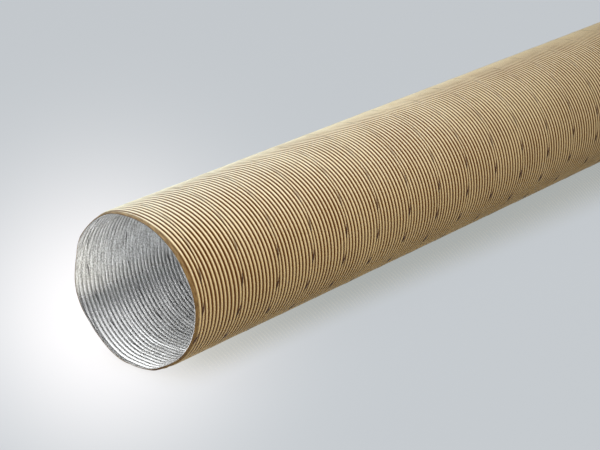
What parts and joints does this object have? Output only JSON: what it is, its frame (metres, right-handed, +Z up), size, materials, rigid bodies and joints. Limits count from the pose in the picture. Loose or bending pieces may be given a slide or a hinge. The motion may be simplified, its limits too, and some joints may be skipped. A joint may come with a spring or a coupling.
{
  "type": "flexible air duct",
  "caption": "Straight piece of flexible round air duct with fine ribs, kraft paper outside and aluminium foil inside, open and cut square at both ends.",
  "frame": {"origin": "middle of the flattened underside, halfway along the duct, on the surface that it lies on", "axes": "+X along the duct, away from the end that the picture shows, +Z up"},
  "size_m": [0.3606, 0.0624, 0.0619],
  "materials": {
    "foil": "crinkled bright foil",
    "core_paper": "matt glued paper",
    "kraft_paper": "satin kraft paper"
  },
  "bodies": {
    "root": {"foil_liner": "foil", "paper_core": "core_paper", "kraft_cover": "kraft_paper"}
  },
  "joints": []
}
